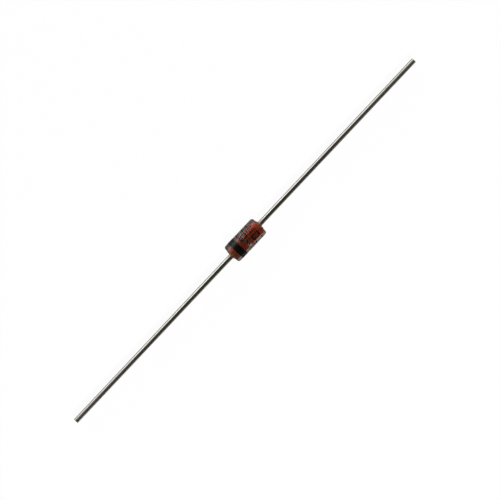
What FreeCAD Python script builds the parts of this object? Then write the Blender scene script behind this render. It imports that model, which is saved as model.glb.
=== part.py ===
import FreeCAD, Part
import Sketcher
import os

from FreeCAD import Placement, Rotation, Vector

# Axial-lead zener diode in the small two-wire glass outline, in millimetres.
# A glass sleeve is fused over two copper-clad slugs that clamp the silicon chip between
# them, and a tinned wire is butt-welded to the outer face of each slug.
# The diode's axis is X, from the cathode wire at -X to the anode wire at +X. Z is up.
# The origin is the middle of the chip stack, which is also the middle of the sleeve.

PARTS_FOLDER = "parts"
SHEET = "Sizes"
TINY = 1e-7
FULL_TURN = 360

# Name, size and what it measures. Lengths are in millimetres, angles in degrees.
SIZE_ROWS = [
    ("glass_diameter", 1.97, "outside of the sleeve along its straight middle"),
    ("glass_length", 3.89, "sleeve from tip to tip, where the glass ends on the slugs"),
    ("end_slope", 0.05, "how far the glass face runs back from its tip to the outer corner"),
    ("end_draw", 0.03, "how much the radius shrinks from the straight middle to a corner"),
    ("draw_length", 0.475, "length of the drawn-in stretch at each end of the sleeve"),
    ("shoulder_radius", 0.22, "fire-polished corner at each end of the sleeve"),
    ("cavity_depth", 0.05, "how far the glass stands back from the slugs round the chip"),
    ("slug_diameter", 0.93, "slug, and the bore of the glass that is fused to it"),
    ("slug_reach", 0.045, "how far a slug stands out of the glass, rounded over all of it"),
    ("slug_seat_edge", 0.03, "bevel round the face that clamps the chip"),
    ("attach_thickness", 0.02, "solder layer under the chip"),
    ("attach_flare", 45.0, "how far the solder's edge leans out towards the slug"),
    ("die_side", 0.42, "chip, each side of its square"),
    ("die_thickness", 0.18, "chip from face to face"),
    ("die_bevel", 0.02, "etched edge round the chip's anode face"),
    ("bump_face", 0.20, "contact bump where it stands on the chip and presses on the slug"),
    ("bump_swell", 0.02, "how far the bump's side swells out between its faces"),
    ("bump_height", 0.06, "contact bump, chip to slug"),
    ("lead_diameter", 0.50, "tinned wire"),
    ("cathode_lead_length", 21.26, "cathode wire from its slug to its cut end"),
    ("anode_lead_length", 21.11, "anode wire from its slug to its cut end"),
    ("cathode_lead_shift", 0.070, "how far the cathode wire is welded off centre"),
    ("anode_lead_shift", 0.065, "how far the anode wire is welded off centre"),
    ("weld_flare", 0.045, "how far the upset weld stands out of the wire at the slug"),
    ("weld_length", 0.14, "upset weld along the wire"),
    ("cut_edge", 0.03, "bevel at the cut end of a wire"),
    ("ink_thickness", 0.015, "printed ink"),
    ("band_margin", 0.04, "straight glass left bare outside the cathode band"),
    ("band_width", 0.64, "cathode band"),
    ("band_gap", 0.34, "bare glass between the band and the first row of marks"),
    ("row_gap", 0.09, "bare glass between the rows of marks"),
    ("marks_margin", 0.03, "straight glass left bare outside the last row of marks"),
    ("mark_pitch", 45.0, "turn from one mark to the next, round the sleeve"),
    ("mark_turn", 32.0, "turn that one mark covers"),
    ("first_mark", -82.0, "turn from the top of the sleeve to the first mark's near side"),
    ("stroke_width", 0.12, "width of a printed stroke"),
]

doc = FreeCAD.newDocument("ZenerDiode")


def make_sheet():
    """The sheet of driving sizes, one alias a row."""
    sheet = doc.addObject("Spreadsheet::Sheet", SHEET)
    for row, (alias, value, meaning) in enumerate(SIZE_ROWS, start=1):
        sheet.set(f"A{row}", alias)
        sheet.set(f"B{row}", str(value))
        sheet.setAlias(f"B{row}", alias)
        sheet.set(f"C{row}", meaning)
    doc.recompute()


def size(alias):
    """A formula's way to name one cell of the sheet."""
    return f"{SHEET}.{alias}"


# Lengths that follow from the driving sizes, as formulas that the pieces share.
BORE = f"({size('slug_diameter')} / 2)"
STACK = f"({size('attach_thickness')} + {size('die_thickness')} + {size('bump_height')})"
GLASS_HALF = f"({size('glass_length')} / 2)"
SLUG_LENGTH = f"({GLASS_HALF} + {size('slug_reach')} - {STACK} / 2)"
SLUG_OUTER_FACE = f"({GLASS_HALF} + {size('slug_reach')})"
GLASS_OUT = f"({size('glass_diameter')} / 2)"
STRAIGHT_HALF = f"({GLASS_HALF} - {size('end_slope')} - {size('draw_length')})"
INK_OUT = f"({GLASS_OUT} + {size('ink_thickness')})"
BAND_START = f"({size('band_margin')} - {STRAIGHT_HALF})"
MARKS_START = f"({BAND_START} + {size('band_width')} + {size('band_gap')})"
MARKS_END = f"({STRAIGHT_HALF} - {size('marks_margin')})"
MARK_HEIGHT = f"(({MARKS_END} - {MARKS_START} - {size('row_gap')}) / 2)"
STROKE_TURN = f"({size('stroke_width')} / {GLASS_OUT} * 180 / pi)"


def number(holder, formula):
    """What a formula comes to with the sheet's present values."""
    return float(holder.evalExpression(formula))


def new_body(label):
    """An empty solid body whose label will name its file."""
    body = doc.addObject("PartDesign::Body", label)
    body.Label = label
    return body


def new_sketch(body, name, plane_role):
    """A sketch on one of the body's own origin planes."""
    sketch = body.newObject("Sketcher::SketchObject", name)
    plane = next(p for p in body.Origin.OriginFeatures if p.Role == plane_role)
    sketch.AttachmentSupport = [(plane, "")]
    sketch.MapMode = "FlatFace"
    return sketch


def tie(sketch, kind, name, geometry, end, formula):
    """Holds a point at a formula's distance from the sketch's origin."""
    constraint = Sketcher.Constraint(kind, -1, 1, geometry, end, number(sketch, formula))
    index = sketch.addConstraint(constraint)
    sketch.renameConstraint(index, name)
    sketch.setExpression(f"Constraints.{name}", formula)


def pin_point(sketch, name, geometry, end, spot):
    """Holds a point at its two formulas. A formula of 0 puts it on that axis of the sketch."""
    along, out = spot
    vertical_axis, horizontal_axis = -2, -1
    if along == "0":
        on_axis = Sketcher.Constraint("PointOnObject", geometry, end, vertical_axis)
        sketch.addConstraint(on_axis)
    else:
        tie(sketch, "DistanceX", f"{name}_along", geometry, end, along)
    if out == "0":
        on_axis = Sketcher.Constraint("PointOnObject", geometry, end, horizontal_axis)
        sketch.addConstraint(on_axis)
    else:
        tie(sketch, "DistanceY", f"{name}_out", geometry, end, out)


def draw_outline(sketch, corners, crowns, smooth):
    """A closed outline through named corners, each a pair of formulas in the first quadrant.

    A side is named by the corner that it starts from. A side with a crown is the arc that
    passes that point, and the others are straight. At a smooth corner the two sides are
    tangent, which settles the arc there, so its crown is only where it is drawn at first.
    """

    def at(spot):
        return Vector(number(sketch, spot[0]), number(sketch, spot[1]), 0)

    names = list(corners)
    followers = names[1:] + names[:1]
    sides = []
    for name, follower in zip(names, followers):
        start, finish = at(corners[name]), at(corners[follower])
        if name not in crowns:
            line = sketch.addGeometry(Part.LineSegment(start, finish))
            sides.append((line, 1, 2))
            continue
        crown = at(crowns[name])
        # A sketch's arcs all run anticlockwise, so one that bends the other way is drawn back.
        if (crown - start).cross(finish - crown).z > 0:
            sides.append((sketch.addGeometry(Part.Arc(start, crown, finish)), 1, 2))
        else:
            sides.append((sketch.addGeometry(Part.Arc(finish, crown, start)), 2, 1))
    for follower, side, after in zip(followers, sides, sides[1:] + sides[:1]):
        joint = "Tangent" if follower in smooth else "Coincident"
        sketch.addConstraint(Sketcher.Constraint(joint, side[0], side[2], after[0], after[1]))
    for name, follower, side in zip(names, followers, sides):
        pin_point(sketch, name, side[0], side[1], corners[name])
        if name in crowns and not {name, follower} & set(smooth):
            crown = sketch.addGeometry(Part.Point(at(crowns[name])), True)
            pin_point(sketch, f"{name}_crown", crown, 1, crowns[name])
            sketch.addConstraint(Sketcher.Constraint("PointOnObject", crown, 1, side[0]))


def turned_body(label, corners, crowns=None, smooth=()):
    """A body turned about X from an outline whose corners are (along X, out from X)."""
    body = new_body(label)
    section = new_sketch(body, f"{label}_section", "XY_Plane")
    draw_outline(section, corners, crowns or {}, smooth)
    turning = body.newObject("PartDesign::Revolution", f"{label}_turning")
    turning.Profile = section
    turning.ReferenceAxis = (section, ["H_Axis"])
    turning.Angle = FULL_TURN
    section.Visibility = False
    doc.recompute()
    return body


def rims(body, along, out):
    """Names of the circular edges about X at these distances along X and out from it."""
    found = []
    for index, edge in enumerate(body.Shape.Edges, start=1):
        curve = edge.Curve
        if not isinstance(curve, Part.Circle):
            continue
        on_axis = abs(curve.Center.y) + abs(curve.Center.z) < TINY
        near = any(abs(curve.Center.x - x) < TINY for x in along)
        if on_axis and near and abs(curve.Radius - out) < TINY:
            found.append(f"Edge{index}")
    return found


def break_edges(body, kind, name, edges, setting, formula):
    """A Fillet or Chamfer on the body's named edges, with one property bound to a formula."""
    base = body.Tip
    feature = body.newObject(f"PartDesign::{kind}", name)
    feature.Base = (base, edges)
    setattr(feature, setting, number(feature, formula))
    feature.setExpression(setting, formula)
    doc.recompute()


def seat(piece, along, sideways="0", faces_back=False):
    """Puts a piece's own origin at a formula along X and along Y, turned to -X if it faces back."""
    turn = 180 if faces_back else 0
    piece.Placement = Placement(Vector(), Rotation(Vector(0, 0, 1), turn))
    piece.setExpression("Placement.Base.x", along)
    piece.setExpression("Placement.Base.y", sideways)


def glass_sleeve():
    """Sleeve fused on the slugs, with fire-polished ends and a small cavity round the chip."""
    corner_out = f"{GLASS_OUT} - {size('end_draw')}"
    draw_out = f"{GLASS_OUT} - {size('end_draw')} / 4"
    anode_corner = f"{size('glass_length')} - {size('end_slope')}"
    corners = {
        "cathode_tip": ("0", BORE),
        "cathode_corner": (size("end_slope"), corner_out),
        "cathode_draw": (f"{GLASS_HALF} - {STRAIGHT_HALF}", GLASS_OUT),
        "anode_draw": (f"{GLASS_HALF} + {STRAIGHT_HALF}", GLASS_OUT),
        "anode_corner": (anode_corner, corner_out),
        "anode_tip": (size("glass_length"), BORE),
        "anode_cavity": (f"{GLASS_HALF} + {STACK} / 2", BORE),
        "cathode_cavity": (f"{GLASS_HALF} - {STACK} / 2", BORE),
    }
    draw_middle = f"({size('end_slope')} + {size('draw_length')} / 2)"
    crowns = {
        "cathode_corner": (draw_middle, draw_out),
        "anode_draw": (f"{size('glass_length')} - {draw_middle}", draw_out),
        "anode_cavity": (GLASS_HALF, f"{BORE} + {size('cavity_depth')}"),
    }
    body = turned_body("glass_sleeve", corners, crowns, ("cathode_draw", "anode_draw"))
    corner_places = [number(body, size("end_slope")), number(body, anode_corner)]
    corner_rims = rims(body, corner_places, number(body, corner_out))
    break_edges(body, "Fillet", "shoulders", corner_rims, "Radius", size("shoulder_radius"))
    seat(body, f"-{GLASS_HALF}")
    return body


def slug(label, faces_back):
    """Copper-clad slug, drawn from the face that clamps the chip to the one that takes the wire."""
    body = new_body(label)
    face = new_sketch(body, f"{label}_face", "YZ_Plane")
    circle = face.addGeometry(Part.Circle(Vector(), Vector(0, 0, 1), number(face, BORE)))
    face.addConstraint(Sketcher.Constraint("Coincident", circle, 3, -1, 1))
    across = Sketcher.Constraint("Diameter", circle, number(face, size("slug_diameter")))
    index = face.addConstraint(across)
    face.setExpression(f"Constraints[{index}]", size("slug_diameter"))
    rod = body.newObject("PartDesign::Pad", f"{label}_rod")
    rod.Profile = face
    rod.setExpression("Length", SLUG_LENGTH)
    face.Visibility = False
    doc.recompute()
    radius = number(body, BORE)
    seat_rim = rims(body, [0], radius)
    break_edges(body, "Chamfer", f"{label}_bevel", seat_rim, "Size", size("slug_seat_edge"))
    weld_rim = rims(body, [number(body, SLUG_LENGTH)], radius)
    break_edges(body, "Fillet", f"{label}_rounding", weld_rim, "Radius", size("slug_reach"))
    side = "-" if faces_back else ""
    seat(body, f"{side}{STACK} / 2", faces_back=faces_back)
    return body


def lead(label, length, sideways, faces_back):
    """Tinned wire, drawn from its slug outwards: a flared upset weld, the wire and its cut end."""
    radius = f"{size('lead_diameter')} / 2"
    corners = {
        "root": ("0", "0"),
        "weld_rim": ("0", f"{radius} + {size('weld_flare')}"),
        "weld_toe": (size("weld_length"), radius),
        "cut_shoulder": (f"{length} - {size('cut_edge')}", radius),
        "cut_rim": (length, f"{radius} - {size('cut_edge')}"),
        "cut_middle": (length, "0"),
    }
    flank = (f"{size('weld_length')} / 2", f"{radius} + {size('weld_flare')} / 4")
    body = turned_body(label, corners, {"weld_rim": flank}, ("weld_toe",))
    side = "-" if faces_back else ""
    seat(body, f"{side}{SLUG_OUTER_FACE}", sideways, faces_back)
    return body


def square_body(label, side, thickness, flare="0"):
    """A square plate padded along X from the YZ plane, its edges leaning out by the flare."""
    body = new_body(label)
    sketch = new_sketch(body, f"{label}_square", "YZ_Plane")
    half = number(sketch, side) / 2
    spots = [(-half, -half), (half, -half), (half, half), (-half, half)]
    lines = []
    for start, finish in zip(spots, spots[1:] + spots[:1]):
        edge = Part.LineSegment(Vector(*start, 0), Vector(*finish, 0))
        lines.append(sketch.addGeometry(edge))
    for line, after in zip(lines, lines[1:] + lines[:1]):
        sketch.addConstraint(Sketcher.Constraint("Coincident", line, 2, after, 1))
    for line, direction in zip(lines, ["Horizontal", "Vertical"] * 2):
        sketch.addConstraint(Sketcher.Constraint(direction, line))
    bottom, right = lines[:2]
    sketch.addConstraint(Sketcher.Constraint("Equal", bottom, right))
    sketch.addConstraint(Sketcher.Constraint("Symmetric", bottom, 1, right, 2, -1, 1))
    width = Sketcher.Constraint("DistanceX", bottom, 1, bottom, 2, 2 * half)
    index = sketch.addConstraint(width)
    sketch.setExpression(f"Constraints[{index}]", side)
    plate = body.newObject("PartDesign::Pad", f"{label}_plate")
    plate.Profile = sketch
    plate.setExpression("Length", thickness)
    plate.setExpression("TaperAngle", flare)
    sketch.Visibility = False
    doc.recompute()
    return body


def die_attach():
    """Solder layer on the cathode slug, as wide as the chip at its top and flared at its foot."""
    thickness = size("attach_thickness")
    body = square_body("die_attach", size("die_side"), thickness, size("attach_flare"))
    seat(body, f"{thickness} - {STACK} / 2", faces_back=True)
    return body


def zener_die():
    """Silicon chip, standing on the solder, with the etched bevel round its anode face."""
    body = square_body("zener_die", size("die_side"), size("die_thickness"))
    anode_face = number(body, size("die_thickness"))
    edges = [
        f"Edge{index}"
        for index, edge in enumerate(body.Shape.Edges, start=1)
        if all(abs(vertex.X - anode_face) < TINY for vertex in edge.Vertexes)
    ]
    break_edges(body, "Chamfer", "etched_bevel", edges, "Size", size("die_bevel"))
    seat(body, f"{size('attach_thickness')} - {STACK} / 2")
    return body


def anode_bump():
    """Plated silver bump between the chip and the anode slug, swollen where it was pressed."""
    face_out = f"{size('bump_face')} / 2"
    corners = {
        "foot_middle": ("0", "0"),
        "foot_rim": ("0", face_out),
        "crown_rim": (size("bump_height"), face_out),
        "crown_middle": (size("bump_height"), "0"),
    }
    swell = (f"{size('bump_height')} / 2", f"{face_out} + {size('bump_swell')}")
    body = turned_body("anode_bump", corners, {"foot_rim": swell})
    seat(body, f"{STACK} / 2 - {size('bump_height')}")
    return body


def cathode_band():
    """Ring of black ink that marks the cathode."""
    corners = {
        "outer_start": ("0", INK_OUT),
        "outer_end": (size("band_width"), INK_OUT),
        "inner_end": (size("band_width"), GLASS_OUT),
        "inner_start": ("0", GLASS_OUT),
    }
    body = turned_body("cathode_band", corners)
    seat(body, BAND_START)
    return body


def ink_pad(name, start, length, near_side, turn):
    """A patch of ink on the sleeve, in a frame whose Z is the sleeve's axis and X its top."""
    outside = doc.addObject("Part::Cylinder", f"{name}_outside")
    outside.setExpression("Radius", INK_OUT)
    outside.setExpression("Angle", turn)
    inside = doc.addObject("Part::Cylinder", f"{name}_inside")
    inside.setExpression("Radius", GLASS_OUT)
    for drum in (outside, inside):
        drum.setExpression("Height", length)
        drum.setExpression("Placement.Base.z", start)
        drum.setExpression("Placement.Rotation.Angle", near_side)
    pad = doc.addObject("Part::Cut", name)
    pad.Base = outside
    pad.Tool = inside
    return pad


def loop_mark(name, start, near_side):
    """A plain rectangular loop."""
    stroke, turn = size("stroke_width"), size("mark_turn")
    whole = ink_pad(f"{name}_whole", start, MARK_HEIGHT, near_side, turn)
    window_start = f"({start} + {stroke})"
    window_height = f"({MARK_HEIGHT} - 2 * {stroke})"
    window_side = f"({near_side} + {STROKE_TURN})"
    window_turn = f"({turn} - 2 * {STROKE_TURN})"
    window = ink_pad(f"{name}_window", window_start, window_height, window_side, window_turn)
    loop = doc.addObject("Part::Cut", name)
    loop.Base = whole
    loop.Tool = window
    return [loop]


def bars_mark(name, start, near_side):
    """Two bars along the sleeve."""
    far_side = f"({near_side} + {size('mark_turn')} - {STROKE_TURN})"
    return [
        ink_pad(f"{name}_near", start, MARK_HEIGHT, near_side, STROKE_TURN),
        ink_pad(f"{name}_far", start, MARK_HEIGHT, far_side, STROKE_TURN),
    ]


def dash_mark(name, start, near_side):
    """One dash round the sleeve, at the middle of its row."""
    level = f"({start} + {MARK_HEIGHT} / 2 - {size('stroke_width')} / 2)"
    return [ink_pad(name, level, size("stroke_width"), near_side, size("mark_turn"))]


def rails_mark(name, start, near_side):
    """Two dashes round the sleeve, at the edges of their row."""
    stroke, turn = size("stroke_width"), size("mark_turn")
    far_start = f"({start} + {MARK_HEIGHT} - {stroke})"
    return [
        ink_pad(f"{name}_low", start, stroke, near_side, turn),
        ink_pad(f"{name}_high", far_start, stroke, near_side, turn),
    ]


def printed_marks():
    """Two rows of plain ink marks round the sleeve."""
    rows = [
        (MARKS_START, [rails_mark, loop_mark, dash_mark, bars_mark]),
        (f"({MARKS_END} - {MARK_HEIGHT})", [dash_mark, bars_mark, loop_mark, rails_mark]),
    ]
    pads = []
    for row, (start, shapes) in enumerate(rows, start=1):
        for step, shape in enumerate(shapes):
            near_side = f"({size('first_mark')} + {step} * {size('mark_pitch')})"
            pads += shape(f"mark_{row}_{step + 1}", start, near_side)
    marks = doc.addObject("Part::Compound", "printed_marks")
    marks.Links = pads
    # This half turn lays the pads' Z along the sleeve's X and brings their X to its top.
    marks.Placement = Placement(Vector(), Rotation(Vector(1, 0, 1), 180))
    return marks


def check(piece):
    """Stops the build if a piece, or anything that it is made from, failed."""
    for made in doc.Objects:
        if {"Invalid", "Error"} & set(made.State):
            raise RuntimeError(f"{made.Name} failed: {made.State}")
    shape = piece.Shape
    if shape.isNull() or not shape.isValid() or not shape.Solids:
        raise RuntimeError(f"{piece.Label} has no valid solid")


make_sheet()
pieces = [
    glass_sleeve(),
    slug("cathode_slug", faces_back=True),
    slug("anode_slug", faces_back=False),
    lead("cathode_lead", size("cathode_lead_length"), f"-{size('cathode_lead_shift')}", True),
    lead("anode_lead", size("anode_lead_length"), size("anode_lead_shift"), False),
    die_attach(),
    zener_die(),
    anode_bump(),
    cathode_band(),
    printed_marks(),
]
doc.recompute()
for piece in pieces:
    check(piece)
os.makedirs(PARTS_FOLDER, exist_ok=True)
for piece in pieces:
    piece.Shape.exportStep(os.path.join(PARTS_FOLDER, f"{piece.Label}.step"))
    box = piece.Shape.BoundBox
    print(
        f"{piece.Label}: {len(piece.Shape.Solids)} solid, {piece.Shape.Volume:.5f} mm3,"
        f" X {box.XMin:.3f} to {box.XMax:.3f}, Y {box.YMin:.3f} to {box.YMax:.3f},"
        f" Z {box.ZMin:.3f} to {box.ZMax:.3f}"
    )
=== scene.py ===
import math

import bmesh
import bpy
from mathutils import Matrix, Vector, noise


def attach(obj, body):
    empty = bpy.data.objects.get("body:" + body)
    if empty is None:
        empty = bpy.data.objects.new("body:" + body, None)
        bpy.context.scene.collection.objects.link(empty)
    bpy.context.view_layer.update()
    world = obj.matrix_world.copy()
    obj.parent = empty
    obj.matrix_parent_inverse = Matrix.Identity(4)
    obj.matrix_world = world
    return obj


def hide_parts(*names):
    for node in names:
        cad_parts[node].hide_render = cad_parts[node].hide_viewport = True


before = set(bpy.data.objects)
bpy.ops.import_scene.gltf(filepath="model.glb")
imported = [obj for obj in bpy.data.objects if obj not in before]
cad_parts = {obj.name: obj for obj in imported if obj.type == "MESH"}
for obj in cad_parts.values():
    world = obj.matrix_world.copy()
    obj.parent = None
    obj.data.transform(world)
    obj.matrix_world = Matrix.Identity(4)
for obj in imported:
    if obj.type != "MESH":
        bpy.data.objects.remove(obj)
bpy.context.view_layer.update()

MM = 0.001  # the sizes below are in millimetres, along X or out from the diode's axis

GLASS_OUT = 0.985
DRAW_MIDDLE, DRAW_RADIUS = (1.42, -2.7904), 3.7754
CORNER_MIDDLE, CORNER_RADIUS = (1.6943, 0.7544), 0.22
DRAW_ENDS_AT, CORNER_ENDS_AT = 85.575, 5.826  # degrees up from X
GLASS_LIP = [(1.933, 0.580), (1.939, 0.536), (1.946, 0.507), (1.952, 0.483), (1.957, 0.464)]
GLASS_TIP = 1.945  # where the bore comes out, inside the lip
GLASS_BORE = 0.460  # a little inside the slugs, because the glass wets them
CAVITY_MIDDLE, CAVITY_RADIUS, CAVITY_SPREAD = (0.0, 0.321), 0.194, 42.1

SLUG_RADIUS = 0.465
SLUG_INNER_FACE, SLUG_OUTER_FACE = 0.13, 1.99
SLUG_SEAT_EDGE, SLUG_OUTER_EDGE = 0.03, 0.045

LEAD_RADIUS = 0.25
WELD_RADIUS, WELD_LENGTH = 0.295, 0.14
CUT_EDGE = 0.03
CATHODE_TIP, ANODE_TIP = 23.25, 23.10
CATHODE_SHIFT, ANODE_SHIFT = -0.070, 0.065  # where each wire is welded across Y

# How far out from a wire's middle its copper and then its tin start, on its cut face.
COPPER_STARTS, TIN_STARTS = (0.165, 0.175), (0.208, 0.214)

# The chip's stack: sections of (x, half side, corner) of the solder and of the chip, and the bump.
SOLDER_SECTIONS = [
    (-0.130, 0.230, 0.040), (-0.126, 0.224, 0.036), (-0.120, 0.215, 0.030), (-0.110, 0.210, 0.024),
]
CHIP_SECTIONS = [
    (-0.110, 0.210, 0.006), (0.000, 0.210, 0.006), (0.002, 0.206, 0.006),
    (0.050, 0.206, 0.006), (0.070, 0.190, 0.006),
]
BUMP_START, BUMP_HEIGHT, BUMP_RADIUS, BUMP_BULGE = 0.07, 0.06, 0.10, 0.02

BAND_START, BAND_END = -1.38, -0.74
ROW_STARTS, ROW_HEIGHT = (-0.40, 0.54), 0.85
MARK_TURNS, MARK_SPREAD = (-82, -37, 8, 53), 32  # degrees round from the top towards -Y
STROKE = 0.12
STROKE_SPREAD = math.degrees(STROKE / GLASS_OUT)
STROKE_CORNER = 0.035
# How far in from a stroke's edge, and how high over the glass, its section goes.
INK_SECTION = [(0, -0.001), (0, 0.005), (0.006, 0.011), (0.02, 0.0148), (0.045, 0.0132)]


# Shapes


def arc(middle, radius, start, end, steps):
    """Points of an arc from one angle to another, in degrees up from X."""
    angles = [math.radians(start + (end - start) * i / steps) for i in range(steps + 1)]
    return [(middle[0] + radius * math.cos(a), middle[1] + radius * math.sin(a)) for a in angles]


def mirrored(half):
    """An outline on the +X side, followed by its mirror image."""
    return half + [(-x, r) for x, r in reversed(half)]


def turned_point(x, radius, turn):
    """A point in metres, with turn in degrees round from the top towards -Y."""
    a = math.radians(turn)
    return Vector((x, -radius * math.sin(a), radius * math.cos(a))) * MM


def skin(mesh, rows, closed_rows, closed_across):
    """Faces between neighbouring rows of vertices."""
    pairs = list(zip(rows, rows[1:]))
    if closed_rows:
        pairs.append((rows[-1], rows[0]))
    for low, high in pairs:
        across = len(low) if closed_across else len(low) - 1
        for i in range(across):
            j = (i + 1) % len(low)
            mesh.faces.new((low[i], low[j], high[j], high[i]))


def turn_outline(mesh, outline, steps, hoop=False, shift=0.0):
    """Turns an outline of (x, radius) points round the axis. A hoop's outline closes on itself."""
    rows = []
    for x, radius in outline:
        row = []
        for i in range(steps):
            point = turned_point(x, radius, 360 * i / steps)
            row.append(mesh.verts.new(point + Vector((0, shift * MM, 0))))
        rows.append(row)
    skin(mesh, rows, hoop, True)
    if not hoop:
        mesh.faces.new(rows[0])
        mesh.faces.new(rows[-1])


def rounded_square(x, half_side, corner, steps=5):
    """Points of a square across the axis, with rounded corners."""
    points = []
    for quarter in range(4):
        middle = half_side - corner
        for y, z in arc((middle, middle), corner, 0, 90, steps):
            for _ in range(quarter):
                y, z = -z, y
            points.append(Vector((x, y, z)) * MM)
    return points


def stack_squares(mesh, sections):
    """Skins a stack of square sections of (x, half side, corner) and closes its ends."""
    rows = [[mesh.verts.new(p) for p in rounded_square(*section)] for section in sections]
    skin(mesh, rows, False, True)
    mesh.faces.new(rows[0])
    mesh.faces.new(rows[-1])


def finish_piece(name, mesh, look, crease=35):
    """Makes the mesh an object that stands for the CAD node of the same name."""
    bmesh.ops.recalc_face_normals(mesh, faces=mesh.faces)
    data = bpy.data.meshes.new(name)
    mesh.to_mesh(data)
    mesh.free()
    data.shade_smooth()
    data.set_sharp_from_angle(angle=math.radians(crease))
    data.materials.append(look)
    piece = bpy.data.objects.new(f"{name}_look", data)
    bpy.context.scene.collection.objects.link(piece)
    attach(piece, "root")
    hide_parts(name)
    return piece


# Pieces


def make_glass(look):
    half = arc(DRAW_MIDDLE, DRAW_RADIUS, 90, DRAW_ENDS_AT, 10)
    half += arc(CORNER_MIDDLE, CORNER_RADIUS, DRAW_ENDS_AT, CORNER_ENDS_AT, 16)[1:]
    half += GLASS_LIP
    half += [(GLASS_TIP, GLASS_BORE), (SLUG_INNER_FACE + SLUG_SEAT_EDGE, GLASS_BORE)]
    edge = 90 - CAVITY_SPREAD
    half += arc(CAVITY_MIDDLE, CAVITY_RADIUS, edge, 90, 12)
    outline = mirrored(half)
    mesh = bmesh.new()
    turn_outline(mesh, dropped_doubles(outline), 144, hoop=True)
    finish_piece("glass_sleeve", mesh, look, crease=50)


def dropped_doubles(outline):
    """The outline without points that repeat the one before them."""
    kept = []
    for point in outline:
        if not kept or math.dist(point, kept[-1]) > 1e-6:
            kept.append(point)
    return kept


def make_slug(name, side, look):
    rim = arc(
        (SLUG_OUTER_FACE - SLUG_OUTER_EDGE, SLUG_RADIUS - SLUG_OUTER_EDGE),
        SLUG_OUTER_EDGE, 90, 0, 8,
    )
    outline = [
        (SLUG_INNER_FACE, SLUG_RADIUS - SLUG_SEAT_EDGE),
        (SLUG_INNER_FACE + 0.012, SLUG_RADIUS - 0.010),
        (SLUG_INNER_FACE + SLUG_SEAT_EDGE, SLUG_RADIUS),
    ] + rim
    mesh = bmesh.new()
    turn_outline(mesh, [(side * x, r) for x, r in outline], 96)
    finish_piece(name, mesh, look)


def make_lead(name, side, tip, shift, look):
    bead = WELD_RADIUS - LEAD_RADIUS
    neck_radius = (WELD_LENGTH**2 + bead**2) / (2 * bead)
    neck_spread = math.degrees(math.asin(WELD_LENGTH / neck_radius))
    neck_middle = (SLUG_OUTER_FACE + WELD_LENGTH, LEAD_RADIUS + neck_radius)
    outline = arc(neck_middle, neck_radius, 270 - neck_spread, 270, 8)
    outline += [
        (tip - CUT_EDGE, LEAD_RADIUS),
        (tip - CUT_EDGE * 0.35, LEAD_RADIUS - CUT_EDGE * 0.3),
        (tip, LEAD_RADIUS - CUT_EDGE),
    ]
    mesh = bmesh.new()
    turn_outline(mesh, [(side * x, r) for x, r in outline], 64, shift=shift)
    finish_piece(name, mesh, look)


def make_chip_stack(looks):
    mesh = bmesh.new()
    stack_squares(mesh, SOLDER_SECTIONS)
    finish_piece("die_attach", mesh, looks["solder"])
    mesh = bmesh.new()
    stack_squares(mesh, CHIP_SECTIONS)
    finish_piece("zener_die", mesh, looks["silicon"], crease=20)
    bulge = []
    for i in range(13):
        swell = BUMP_BULGE * math.sin(math.pi * i / 12)
        bulge.append((BUMP_START + BUMP_HEIGHT * i / 12, BUMP_RADIUS + swell))
    mesh = bmesh.new()
    turn_outline(mesh, bulge, 48)
    finish_piece("anode_bump", mesh, looks["silver"])


def uneven(x, turn, amount, seed):
    """How far an ink edge strays at a place on the sleeve."""
    place = turned_point(x, 1, turn) / MM
    return amount * noise.noise(place * 7 + Vector((seed, 0, 0)))


def ink_section(mesh, near, far, rise):
    """A closed section of ink between two places (x, turn) on the sleeve."""
    width = math.hypot(far[0] - near[0], math.radians(far[1] - near[1]) * GLASS_OUT)
    steps = [(min(inset / width, 0.5), height) for inset, height in INK_SECTION]
    steps += [(1 - share, height) for share, height in reversed(steps)]
    section = []
    for share, height in steps:
        x = near[0] + (far[0] - near[0]) * share
        turn = near[1] + (far[1] - near[1]) * share
        section.append(mesh.verts.new(turned_point(x, GLASS_OUT + height * rise, turn)))
    return section


def ink_strip(mesh, rungs, closed):
    """Ink along a row of rungs (near, far, rise)."""
    sections = [ink_section(mesh, *rung) for rung in rungs]
    skin(mesh, sections, closed, True)
    if not closed:
        mesh.faces.new(sections[0])
        mesh.faces.new(sections[-1])


def stroke(mesh, start, end, seed):
    """A stroke between two corners (x, turn), with rounded corners and slightly uneven edges."""
    length_x = end[0] - start[0]
    length_round = math.radians(end[1] - start[1]) * GLASS_OUT
    along = 0 if length_x > length_round else 1
    across = 1 - along
    per_mm = (1.0, math.degrees(1 / GLASS_OUT))
    length, width = (length_x, length_round) if along == 0 else (length_round, length_x)
    middle = (start[across] + end[across]) / 2
    rungs = []
    steps = 30
    for i in range(steps + 1):
        share = 0.5 - 0.5 * math.cos(math.pi * i / steps)
        edge_gap = length * min(share, 1 - share)
        cut = STROKE_CORNER - edge_gap
        drop = STROKE_CORNER - math.sqrt(STROKE_CORNER**2 - cut**2) if cut > 0 else 0
        near, far = [0, 0], [0, 0]
        near[along] = far[along] = start[along] + (end[along] - start[along]) * share
        half = (width / 2 - drop) * per_mm[across]
        near[across], far[across] = middle - half, middle + half
        near[across] += uneven(*near, 0.014, seed) * per_mm[across]
        far[across] += uneven(*far, 0.014, seed + 3) * per_mm[across]
        rungs.append((near, far, min(1.0, 0.3 + edge_gap / 0.02)))
    ink_strip(mesh, rungs, False)


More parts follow.
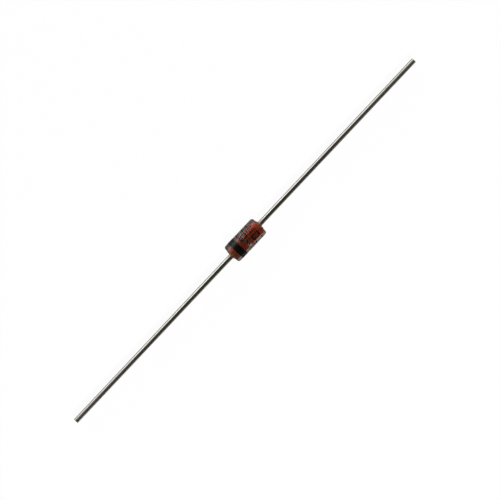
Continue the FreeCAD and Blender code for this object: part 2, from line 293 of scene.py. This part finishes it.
def loop(mesh, start, end, seed):
    """A rectangular loop between two corners (x, turn)."""
    degrees_per_mm = math.degrees(1 / GLASS_OUT)
    middle = ((start[0] + end[0]) / 2, (start[1] + end[1]) / 2)
    half_x = (end[0] - start[0]) / 2
    half_round = (end[1] - start[1]) / 2 / degrees_per_mm
    outer = loop_line(half_x, half_round, 0.07)
    inner = loop_line(half_x - STROKE, half_round - STROKE, 0.03)
    rungs = []
    for wide, narrow in zip(outer, inner):
        rung = []
        for x, y in (wide, narrow):
            place = (middle[0] + x, middle[1] + y * degrees_per_mm)
            stray = uneven(*place, 0.012, seed + len(rung))
            rung.append((place[0] + stray, place[1] + stray * degrees_per_mm))
        rungs.append((*rung, 1.0))
    ink_strip(mesh, rungs, True)


def loop_line(half_x, half_y, corner):
    """Points round a rounded rectangle, the same number on each side."""
    points = []
    sides = [(1, 1), (-1, 1), (-1, -1), (1, -1)]
    for i, (sx, sy) in enumerate(sides):
        middle = (sx * (half_x - corner), sy * (half_y - corner))
        bend = arc(middle, corner, 90 * i, 90 * (i + 1), 5)
        next_sx, next_sy = sides[(i + 1) % 4]
        next_middle = (next_sx * (half_x - corner), next_sy * (half_y - corner))
        next_start = arc(next_middle, corner, 90 * (i + 1), 90 * (i + 2), 1)[0]
        points += bend
        for step in range(1, 8):
            share = step / 8
            points.append(tuple(a + (b - a) * share for a, b in zip(bend[-1], next_start)))
    return points


def rails_mark(mesh, x, turn, seed):
    stroke(mesh, (x, turn), (x + STROKE, turn + MARK_SPREAD), seed)
    stroke(mesh, (x + ROW_HEIGHT - STROKE, turn), (x + ROW_HEIGHT, turn + MARK_SPREAD), seed + 1)


def bars_mark(mesh, x, turn, seed):
    far = turn + MARK_SPREAD
    stroke(mesh, (x, turn), (x + ROW_HEIGHT, turn + STROKE_SPREAD), seed)
    stroke(mesh, (x, far - STROKE_SPREAD), (x + ROW_HEIGHT, far), seed + 1)


def dash_mark(mesh, x, turn, seed):
    level = x + ROW_HEIGHT / 2
    stroke(mesh, (level - STROKE / 2, turn), (level + STROKE / 2, turn + MARK_SPREAD), seed)


def loop_mark(mesh, x, turn, seed):
    loop(mesh, (x, turn), (x + ROW_HEIGHT, turn + MARK_SPREAD), seed)


def make_ink(look):
    mesh = bmesh.new()
    rungs = []
    for turn in range(0, 360, 2):
        near, far = BAND_START, BAND_END
        near += uneven(near, turn, 0.022, 1)
        far += uneven(far, turn, 0.022, 5)
        rungs.append(((near, turn), (far, turn), 1.0))
    ink_strip(mesh, rungs, True)
    finish_piece("cathode_band", mesh, look, crease=60)
    rows = [
        (rails_mark, loop_mark, dash_mark, bars_mark),
        (dash_mark, bars_mark, loop_mark, rails_mark),
    ]
    mesh = bmesh.new()
    for row, (x, marks) in enumerate(zip(ROW_STARTS, rows)):
        for place, (turn, mark) in enumerate(zip(MARK_TURNS, marks)):
            mark(mesh, x, turn, 10 * row + 2 * place)
    finish_piece("printed_marks", mesh, look, crease=60)


# Finishes


def node(tree, kind, inputs=None, **settings):
    """A node with its settings, and with values or links on its inputs."""
    made = tree.nodes.new(kind)
    for name, value in settings.items():
        setattr(made, name, value)
    for name, value in (inputs or {}).items():
        if isinstance(value, bpy.types.NodeSocket):
            tree.links.new(value, made.inputs[name])
        else:
            made.inputs[name].default_value = value
    return made


def maths(tree, operation, *values):
    """The result of a Math node."""
    return node(tree, "ShaderNodeMath", dict(enumerate(values)), operation=operation).outputs[0]


def between(tree, value, low, high, to_low=0.0, to_high=1.0, smooth=False):
    """The value mapped from one range to another, and held inside it."""
    return node(
        tree, "ShaderNodeMapRange",
        {"Value": value, "From Min": low, "From Max": high, "To Min": to_low, "To Max": to_high},
        interpolation_type="SMOOTHSTEP" if smooth else "LINEAR",
    ).outputs["Result"]


def blend(tree, share, first, second):
    """A mix of two colours."""
    return node(
        tree, "ShaderNodeMix", {0: share, 6: first, 7: second}, data_type="RGBA",
    ).outputs[2]


def colour(red, green, blue):
    return (red, green, blue, 1.0)


def start_group(name, inputs, outputs):
    """An empty node group with its sockets, its input node and its output node."""
    tree = bpy.data.node_groups.new(name, "ShaderNodeTree")
    for label, value in inputs.items():
        kind = "NodeSocketVector" if value is None else "NodeSocketFloat"
        socket = tree.interface.new_socket(label, in_out="INPUT", socket_type=kind)
        if value is not None:
            socket.default_value = value
    for label in outputs:
        tree.interface.new_socket(label, in_out="OUTPUT", socket_type="NodeSocketFloat")
    return tree, tree.nodes.new("NodeGroupInput"), tree.nodes.new("NodeGroupOutput")


def make_draw_lines():
    """Fine lines along the axis, as drawing leaves on wire and rod."""
    tree, given, result = start_group(
        "draw_lines",
        {"Place": None, "Lines per mm": 40.0, "Line length": 3.0, "Detail": 3.0}, ["Lines"],
    )
    short = maths(tree, "DIVIDE", 1000.0, given.outputs["Line length"])
    fine = maths(tree, "MULTIPLY", 1000.0, given.outputs["Lines per mm"])
    scale = node(tree, "ShaderNodeCombineXYZ", {"X": short, "Y": fine, "Z": fine})
    stretched = node(
        tree, "ShaderNodeVectorMath", {0: given.outputs["Place"], 1: scale.outputs[0]},
        operation="MULTIPLY",
    )
    lines = node(tree, "ShaderNodeTexNoise", {
        "Vector": stretched.outputs[0], "Scale": 1.0,
        "Detail": given.outputs["Detail"], "Roughness": 0.6,
    })
    tree.links.new(between(tree, lines.outputs[0], 0.3, 0.7), result.inputs["Lines"])
    return tree


def make_mottle():
    """Soft patches, such as oxide, tarnish and smears."""
    tree, given, result = start_group(
        "mottle", {"Place": None, "Patch size": 0.3, "Contrast": 0.5}, ["Patches"],
    )
    scale = maths(tree, "DIVIDE", 1000.0, given.outputs["Patch size"])
    cloud = node(tree, "ShaderNodeTexNoise", {
        "Vector": given.outputs["Place"], "Scale": scale,
        "Detail": 4.0, "Roughness": 0.55, "Distortion": 0.4,
    })
    margin = maths(tree, "MULTIPLY", maths(tree, "SUBTRACT", 1.0, given.outputs["Contrast"]), 0.4)
    low = maths(tree, "SUBTRACT", 0.46, margin)
    high = maths(tree, "ADD", 0.54, margin)
    patches = between(tree, cloud.outputs[0], low, high, smooth=True)
    tree.links.new(patches, result.inputs["Patches"])
    return tree


def make_grain():
    """Fine grain and specks."""
    tree, given, result = start_group(
        "grain", {"Place": None, "Grains per mm": 30.0}, ["Grain", "Specks"],
    )
    scale = maths(tree, "MULTIPLY", 1000.0, given.outputs["Grains per mm"])
    fine = node(
        tree, "ShaderNodeTexNoise",
        {"Vector": given.outputs["Place"], "Scale": scale, "Detail": 2.0, "Roughness": 0.7},
    )
    coarse = maths(tree, "MULTIPLY", scale, 0.4)
    cells = node(tree, "ShaderNodeTexVoronoi", {"Vector": given.outputs["Place"], "Scale": coarse})
    specks = between(tree, cells.outputs["Distance"], 0.08, 0.2, 1.0, 0.0)
    tree.links.new(fine.outputs[0], result.inputs["Grain"])
    tree.links.new(specks, result.inputs["Specks"])
    return tree


def make_reach():
    """How far a place is past one distance from the diode's middle, on the way to another."""
    tree, given, result = start_group("reach", {"Place": None, "From": 0.0, "To": 1.0}, ["Mask"])
    parts = node(tree, "ShaderNodeSeparateXYZ", {0: given.outputs["Place"]})
    away = maths(tree, "MULTIPLY", maths(tree, "ABSOLUTE", parts.outputs["X"]), 1000.0)
    mask = between(tree, away, given.outputs["From"], given.outputs["To"], smooth=True)
    tree.links.new(mask, result.inputs["Mask"])
    return tree


def start_look(name):
    """A new material with its shader, and the place on the object that its patterns follow."""
    look = bpy.data.materials.new(name)
    look.use_nodes = True
    tree = look.node_tree
    tree.nodes.clear()
    shader = node(tree, "ShaderNodeBsdfPrincipled")
    output = node(tree, "ShaderNodeOutputMaterial", {"Surface": shader.outputs[0]})
    place = node(tree, "ShaderNodeTexCoord").outputs["Object"]
    return look, tree, shader, output, place


def use(tree, group, place, **values):
    """A group's outputs in a material that sets its values. An underscore stands for a space."""
    made = node(tree, "ShaderNodeGroup", node_tree=group)
    tree.links.new(place, made.inputs["Place"])
    for name, value in values.items():
        made.inputs[name.replace("_", " ")].default_value = value
    return made.outputs


def set_shader(tree, shader, **values):
    """Values and links on a shader's inputs. An underscore stands for a space."""
    for name, value in values.items():
        socket = shader.inputs[name.replace("_", " ")]
        if isinstance(value, bpy.types.NodeSocket):
            tree.links.new(value, socket)
        else:
            socket.default_value = value


def mix_shaders(tree, output, share, first, second):
    """A material of two shaders, where the share is the second one's."""
    mixed = node(
        tree, "ShaderNodeMixShader", {0: share, 1: first.outputs[0], 2: second.outputs[0]},
    )
    tree.links.new(mixed.outputs[0], output.inputs["Surface"])


def relief(tree, shader, height, depth):
    """Bumps of a depth in millimetres."""
    bump = node(tree, "ShaderNodeBump", {"Height": height, "Distance": depth * MM})
    tree.links.new(bump.outputs[0], shader.inputs["Normal"])


def cut_end(tree, place, lines):
    """The cut face of a wire: a steel core, a copper ring and the tin skin round it."""
    parts = node(tree, "ShaderNodeSeparateXYZ", {0: place}).outputs
    weld_shift = maths(tree, "MULTIPLY", maths(tree, "SIGN", parts["X"]), ANODE_SHIFT * MM)
    across = maths(tree, "SUBTRACT", parts["Y"], weld_shift)
    out = node(tree, "ShaderNodeCombineXYZ", {"Y": across, "Z": parts["Z"]}).outputs[0]
    radius = node(tree, "ShaderNodeVectorMath", {0: out}, operation="LENGTH").outputs["Value"]
    copper = between(tree, radius, *(edge * MM for edge in COPPER_STARTS))
    skin_on = between(tree, radius, *(edge * MM for edge in TIN_STARTS))
    steel = blend(tree, lines, colour(0.46, 0.45, 0.43), colour(0.36, 0.35, 0.34))
    ringed = blend(tree, copper, steel, colour(0.66, 0.33, 0.20))
    return blend(tree, skin_on, ringed, colour(0.58, 0.56, 0.53))


def wire_look(groups):
    look, tree, shader, _, place = start_look("tinned_wire")
    lines = use(tree, groups["draw_lines"], place, Lines_per_mm=45.0, Line_length=2.5)["Lines"]
    patches = use(tree, groups["mottle"], place, Patch_size=0.35, Contrast=0.3)["Patches"]
    weld = use(tree, groups["reach"], place, From=2.74, To=2.04)["Mask"]
    face = use(tree, groups["reach"], place, From=23.075, To=23.095)["Mask"]
    tin = blend(tree, patches, colour(0.78, 0.76, 0.705), colour(0.63, 0.61, 0.565))
    tin = blend(tree, maths(tree, "MULTIPLY", lines, 0.25), tin, colour(0.36, 0.35, 0.33))
    stain = maths(tree, "MULTIPLY", weld, between(tree, patches, 0.2, 0.9, 0.5, 0.9))
    tin = blend(tree, stain, tin, colour(0.42, 0.34, 0.26))
    surface = blend(tree, face, tin, cut_end(tree, place, lines))
    rough = between(tree, maths(tree, "ADD", lines, patches), 0.0, 2.0, 0.12, 0.26)
    rough = between(tree, weld, 0.0, 1.0, rough, 0.42)
    set_shader(tree, shader, Base_Color=surface, Metallic=1.0, Roughness=rough)
    relief(tree, shader, lines, 0.002)
    return look


def slug_look(groups):
    look, tree, shader, _, place = start_look("copper_clad_slug")
    patches = use(tree, groups["mottle"], place, Patch_size=0.5, Contrast=0.45)["Patches"]
    flecks = use(tree, groups["mottle"], place, Patch_size=0.12, Contrast=0.6)["Patches"]
    lines = use(tree, groups["draw_lines"], place, Lines_per_mm=22.0, Line_length=0.8)["Lines"]
    x = node(tree, "ShaderNodeSeparateXYZ", {0: place}).outputs["X"]
    along = between(tree, x, -SLUG_OUTER_FACE * MM, SLUG_OUTER_FACE * MM)
    ramp = node(tree, "ShaderNodeValToRGB", {"Fac": along})
    fill_ramp(ramp, [
        (0.0, colour(0.32, 0.115, 0.058)), (0.04, colour(0.47, 0.16, 0.068)),
        (0.16, colour(0.44, 0.12, 0.056)), (0.34, colour(0.42, 0.060, 0.045)),
        (0.6, colour(0.48, 0.060, 0.032)), (0.8, colour(0.70, 0.080, 0.028)),
        (0.96, colour(0.74, 0.10, 0.036)), (1.0, colour(0.42, 0.11, 0.05)),
    ])
    dull = maths(tree, "MULTIPLY", patches, 0.5)
    oxide = blend(tree, dull, ramp.outputs["Color"], colour(0.16, 0.03, 0.02))
    oxide = blend(tree, maths(tree, "MULTIPLY", flecks, 0.35), oxide, colour(0.60, 0.20, 0.08))
    rough = between(tree, maths(tree, "ADD", lines, flecks), 0.0, 2.0, 0.46, 0.66)
    set_shader(tree, shader, Base_Color=oxide, Metallic=0.85, Roughness=rough)
    relief(tree, shader, maths(tree, "ADD", lines, flecks), 0.002)
    return look


def fill_ramp(ramp, stops):
    """Sets a ramp's colours at their places."""
    elements = ramp.color_ramp.elements
    while len(elements) > 1:
        elements.remove(elements[-1])
    elements[0].position, elements[0].color = stops[0]
    for position, value in stops[1:]:
        elements.new(position).color = value


def glass_look(groups):
    look, tree, shader, output, place = start_look("clear_glass")
    smears = use(tree, groups["mottle"], place, Patch_size=0.8, Contrast=0.2)["Patches"]
    waves = use(
        tree, groups["draw_lines"], place, Lines_per_mm=2.0, Line_length=1.0, Detail=0.0,
    )["Lines"]
    ends = use(tree, groups["reach"], place, From=1.65, To=1.95)["Mask"]
    # The pink of the glass is partly a stain from the copper slugs and partly a painted reflection
    # of their red, which real glass shows by mirroring them. The smear patches add stronger pink
    # (painted reflection) and rougher glass.
    copper_stain_and_painted_reflection = blend(tree, ends, colour(0.92, 0.77, 0.71), colour(0.86, 0.76, 0.68))
    copper_stain_and_painted_reflection = blend(tree, maths(tree, "MULTIPLY", smears, 0.4), copper_stain_and_painted_reflection, colour(0.86, 0.66, 0.60))
    rough = between(tree, smears, 0.0, 1.0, 0.0, 0.03)
    set_shader(tree, shader, Base_Color=copper_stain_and_painted_reflection, Roughness=rough, IOR=1.56, Transmission_Weight=1.0)
    relief(tree, shader, waves, 0.008)
    clear = node(tree, "ShaderNodeBsdfTransparent", {"Color": colour(0.93, 0.885, 0.84)})
    shadow = node(tree, "ShaderNodeLightPath").outputs["Is Shadow Ray"]
    mix_shaders(tree, output, shadow, shader, clear)
    return look


def ink_look(groups):
    look, tree, shader, _, place = start_look("black_ink")
    patches = use(tree, groups["mottle"], place, Patch_size=0.25, Contrast=0.4)["Patches"]
    grain = use(tree, groups["grain"], place, Grains_per_mm=35.0)
    black = blend(tree, patches, colour(0.0008, 0.0010, 0.0008), colour(0.003, 0.0026, 0.002))
    specks = maths(tree, "MULTIPLY", grain["Specks"], 0.4)
    black = blend(tree, specks, black, colour(0.012, 0.010, 0.008))
    rough = between(tree, patches, 0.0, 1.0, 0.26, 0.42)
    set_shader(tree, shader, Base_Color=black, Roughness=rough, IOR=1.48, Specular_IOR_Level=0.40)
    relief(tree, shader, maths(tree, "ADD", grain["Grain"], patches), 0.003)
    return look


def solder_look(groups):
    look, tree, shader, _, place = start_look("solder")
    patches = use(tree, groups["mottle"], place, Patch_size=0.06, Contrast=0.5)["Patches"]
    grain = use(tree, groups["grain"], place, Grains_per_mm=60.0)["Grain"]
    grey = blend(tree, patches, colour(0.66, 0.65, 0.62), colour(0.50, 0.49, 0.46))
    rough = between(tree, grain, 0.3, 0.7, 0.3, 0.5)
    set_shader(tree, shader, Base_Color=grey, Metallic=1.0, Roughness=rough)
    relief(tree, shader, grain, 0.003)
    return look


def silicon_look(groups):
    look, tree, shader, _, place = start_look("silicon")
    saw = use(tree, groups["draw_lines"], place, Lines_per_mm=90.0, Line_length=0.3)["Lines"]
    grain = use(tree, groups["grain"], place, Grains_per_mm=80.0)["Grain"]
    grey = blend(tree, grain, colour(0.28, 0.29, 0.33), colour(0.36, 0.37, 0.40))
    rough = between(tree, saw, 0.0, 1.0, 0.12, 0.3)
    set_shader(tree, shader, Base_Color=grey, Metallic=0.7, Roughness=rough)
    relief(tree, shader, saw, 0.001)
    return look


def silver_look(groups):
    look, tree, shader, _, place = start_look("silver")
    grain = use(tree, groups["grain"], place, Grains_per_mm=70.0)["Grain"]
    pale = blend(tree, grain, colour(0.86, 0.85, 0.81), colour(0.76, 0.74, 0.69))
    rough = between(tree, grain, 0.3, 0.7, 0.28, 0.45)
    set_shader(tree, shader, Base_Color=pale, Metallic=1.0, Roughness=rough)
    relief(tree, shader, grain, 0.002)
    return look


def make_looks():
    groups = {
        "draw_lines": make_draw_lines(),
        "mottle": make_mottle(),
        "grain": make_grain(),
        "reach": make_reach(),
    }
    return {
        "wire": wire_look(groups),
        "slug": slug_look(groups),
        "glass": glass_look(groups),
        "ink": ink_look(groups),
        "solder": solder_look(groups),
        "silicon": silicon_look(groups),
        "silver": silver_look(groups),
    }


# Studio

FLOOR_LEVEL = -1.0
FLOOR_HALF = 8000.0
AXIS_TILT = 46.71  # how far the diode's axis is turned up from the picture's level, in degrees
VIEW_MIDDLE = (0.428, -0.933)  # from the glass body's middle to the picture's, right and up
VIEW_WIDTH = 46.86
CAMERA_HEIGHT = 250.0
SEEN_WHITE, MIRRORED_WHITE = 0.95, 0.03  # how far the floor is white whatever light falls on it
# Each lamp's name, place, width and power.
LAMPS = [("key_lamp", (-60, -290, 525), 140, 2.5), ("fill_lamp", (160, 280, 520), 320, 0.4)]
# The room's light from -Y (0) to +Y (1), warm where it is dim.
ROOM_LEVELS = [
    (0.0, (0.062, 0.060, 0.047)), (0.29, (0.022, 0.021, 0.016)), (0.60, (0.022, 0.021, 0.016)),
    (0.785, (0.052, 0.050, 0.040)), (0.88, (0.75, 0.75, 0.73)), (0.935, (2.1, 2.1, 2.07)),
    (1.0, (2.5, 2.5, 2.46)),
]


def make_camera():
    """A camera that looks straight down, with the diode's axis turned up to the right."""
    data = bpy.data.cameras.new("camera")
    data.sensor_width = 36.0
    data.lens = data.sensor_width * CAMERA_HEIGHT / VIEW_WIDTH
    data.clip_start = 1 * MM
    camera = bpy.data.objects.new("camera", data)
    tilt = math.radians(AXIS_TILT)
    right = Vector((math.cos(tilt), -math.sin(tilt), 0))
    up = Vector((math.sin(tilt), math.cos(tilt), 0))
    place = right * VIEW_MIDDLE[0] + up * VIEW_MIDDLE[1] + Vector((0, 0, CAMERA_HEIGHT))
    camera.location = place * MM
    camera.rotation_euler = (0, 0, -tilt)
    bpy.context.scene.collection.objects.link(camera)
    bpy.context.scene.camera = camera


def make_floor():
    """A pale floor, white where the camera looks and a softer tone as a light on the diode."""
    mesh = bmesh.new()
    half, level = FLOOR_HALF * MM, FLOOR_LEVEL * MM
    corners = [(-half, -half), (half, -half), (half, half), (-half, half)]
    mesh.faces.new([mesh.verts.new((x, y, level)) for x, y in corners])
    data = bpy.data.meshes.new("floor")
    mesh.to_mesh(data)
    mesh.free()
    look, tree, shader, output, _ = start_look("pale_floor")
    path = node(tree, "ShaderNodeLightPath").outputs
    pale = blend(tree, path["Is Camera Ray"], colour(0.31, 0.31, 0.305), colour(1.0, 1.0, 0.995))
    set_shader(tree, shader, Base_Color=pale, Roughness=0.9, Specular_IOR_Level=0.0)
    glow = node(tree, "ShaderNodeEmission", {"Color": colour(1, 1, 1), "Strength": 1.0})
    mirrored_ray = maths(tree, "MAXIMUM", path["Is Glossy Ray"], path["Is Transmission Ray"])
    seen = maths(tree, "MULTIPLY", path["Is Camera Ray"], SEEN_WHITE)
    share = maths(tree, "MAXIMUM", seen, maths(tree, "MULTIPLY", mirrored_ray, MIRRORED_WHITE))
    mix_shaders(tree, output, share, shader, glow)
    data.materials.append(look)
    floor = bpy.data.objects.new("floor", data)
    bpy.context.scene.collection.objects.link(floor)


def make_lamp(name, place, size, power):
    """A soft lamp that faces the diode. It lights the scene and isn't mirrored in it."""
    data = bpy.data.lights.new(name, "AREA")
    data.shape = "DISK"
    data.size = size * MM
    data.energy = power
    lamp = bpy.data.objects.new(name, data)
    lamp.location = Vector(place) * MM
    lamp.rotation_euler = Vector(place).to_track_quat("Z", "Y").to_euler()
    lamp.visible_glossy = False
    lamp.visible_transmission = False
    lamp.visible_camera = False
    bpy.context.scene.collection.objects.link(lamp)


def make_room():
    """Soft light from the room: brightest from +Y, dim overhead, from -Y and near the floor."""
    world = bpy.data.worlds.new("room")
    bpy.context.scene.world = world
    world.use_nodes = True
    tree = world.node_tree
    tree.nodes.clear()
    direction = node(tree, "ShaderNodeTexCoord").outputs["Generated"]
    parts = node(tree, "ShaderNodeSeparateXYZ", {0: direction}).outputs
    ramp = node(tree, "ShaderNodeValToRGB", {"Fac": between(tree, parts["Y"], -1.0, 1.0)})
    fill_ramp(ramp, [(place, colour(*level)) for place, level in ROOM_LEVELS])
    end_level = between(tree, parts["Y"], -0.35, 0.35, 0.10, 0.85)
    to_ends = maths(tree, "POWER", maths(tree, "ABSOLUTE", parts["X"]), 2.0)
    ends = maths(tree, "MULTIPLY", to_ends, end_level)
    grey_ends = node(tree, "ShaderNodeCombineColor", {0: ends, 1: ends, 2: ends}).outputs[0]
    total = node(
        tree, "ShaderNodeMix", {0: 1.0, 6: ramp.outputs["Color"], 7: grey_ends},
        data_type="RGBA", blend_type="ADD",
    ).outputs[2]
    haze = between(tree, parts["Z"], 0.0, 0.40, 0.35, 1.0)
    background = node(tree, "ShaderNodeBackground", {"Color": total, "Strength": haze})
    node(tree, "ShaderNodeOutputWorld", {"Surface": background.outputs[0]})


looks = make_looks()
make_glass(looks["glass"])
make_slug("cathode_slug", -1, looks["slug"])
make_slug("anode_slug", 1, looks["slug"])
make_lead("cathode_lead", -1, CATHODE_TIP, CATHODE_SHIFT, looks["wire"])
make_lead("anode_lead", 1, ANODE_TIP, ANODE_SHIFT, looks["wire"])
make_chip_stack(looks)
make_ink(looks["ink"])

make_camera()
make_floor()
for lamp in LAMPS:
    make_lamp(*lamp)
make_room()
bpy.context.scene.view_settings.view_transform = "Standard"
